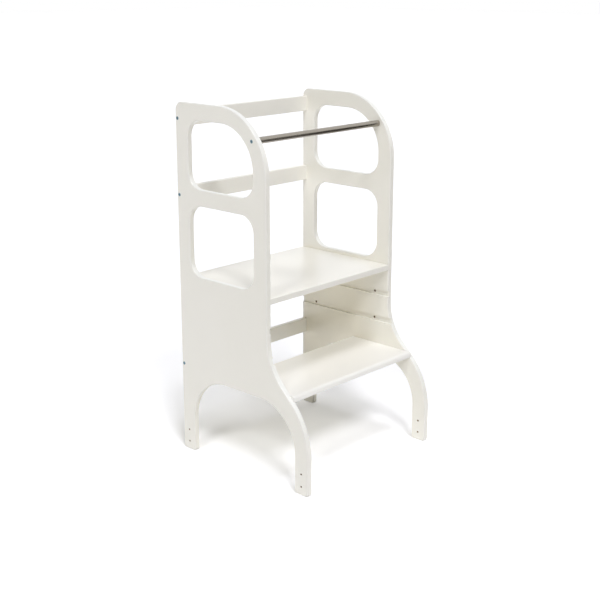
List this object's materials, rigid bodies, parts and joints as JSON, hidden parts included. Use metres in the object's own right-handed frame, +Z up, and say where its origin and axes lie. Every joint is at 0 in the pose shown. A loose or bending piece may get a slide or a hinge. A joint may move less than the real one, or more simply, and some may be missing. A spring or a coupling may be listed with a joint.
{
  "type": "toddler kitchen helper stool",
  "caption": "Child's kitchen step stool: cut-out side panels joined by back rails, a platform that fits at several heights, a lower step and a steel rod across the front.",
  "frame": {"origin": "on the floor, under the middle of the stool's bounding box", "axes": "+Z up, +X to the right as seen from the front, +Y to the back; the front with the step is towards -Y"},
  "size_m": [0.468, 0.44, 0.9],
  "materials": {
    "painted_board": "off-white satin paint over birch plywood",
    "steel_rod": "stainless steel, brushed round",
    "plated_steel": "blue zinc-plated steel",
    "dowel_wood": "bare beech"
  },
  "bodies": {
    "root": {"left_side_panel": "painted_board", "right_side_panel": "painted_board", "top_rail": "painted_board", "middle_rail": "painted_board", "lower_rail": "painted_board", "platform": "painted_board", "step": "painted_board", "safety_rod": "steel_rod", "top_rail_bolt_left": "plated_steel", "top_rail_nut_left": "plated_steel", "top_rail_dowel_left_upper": "dowel_wood", "top_rail_dowel_left_lower": "dowel_wood", "middle_rail_bolt_left": "plated_steel", "middle_rail_nut_left": "plated_steel", "middle_rail_dowel_left_upper": "dowel_wood", "middle_rail_dowel_left_lower": "dowel_wood", "lower_rail_bolt_left": "plated_steel", "lower_rail_nut_left": "plated_steel", "lower_rail_dowel_left_upper": "dowel_wood", "lower_rail_dowel_left_lower": "dowel_wood", "rod_bolt_left": "plated_steel", "platform_dowel_left_front": "dowel_wood", "platform_dowel_left_back": "dowel_wood", "step_dowel_left_front": "dowel_wood", "step_dowel_left_back": "dowel_wood", "top_rail_bolt_right": "plated_steel", "top_rail_nut_right": "plated_steel", "top_rail_dowel_right_upper": "dowel_wood", "top_rail_dowel_right_lower": "dowel_wood", "middle_rail_bolt_right": "plated_steel", "middle_rail_nut_right": "plated_steel", "middle_rail_dowel_right_upper": "dowel_wood", "middle_rail_dowel_right_lower": "dowel_wood", "lower_rail_bolt_right": "plated_steel", "lower_rail_nut_right": "plated_steel", "lower_rail_dowel_right_upper": "dowel_wood", "lower_rail_dowel_right_lower": "dowel_wood", "rod_bolt_right": "plated_steel", "platform_dowel_right_front": "dowel_wood", "platform_dowel_right_back": "dowel_wood", "step_dowel_right_front": "dowel_wood", "step_dowel_right_back": "dowel_wood"}
  },
  "joints": []
}
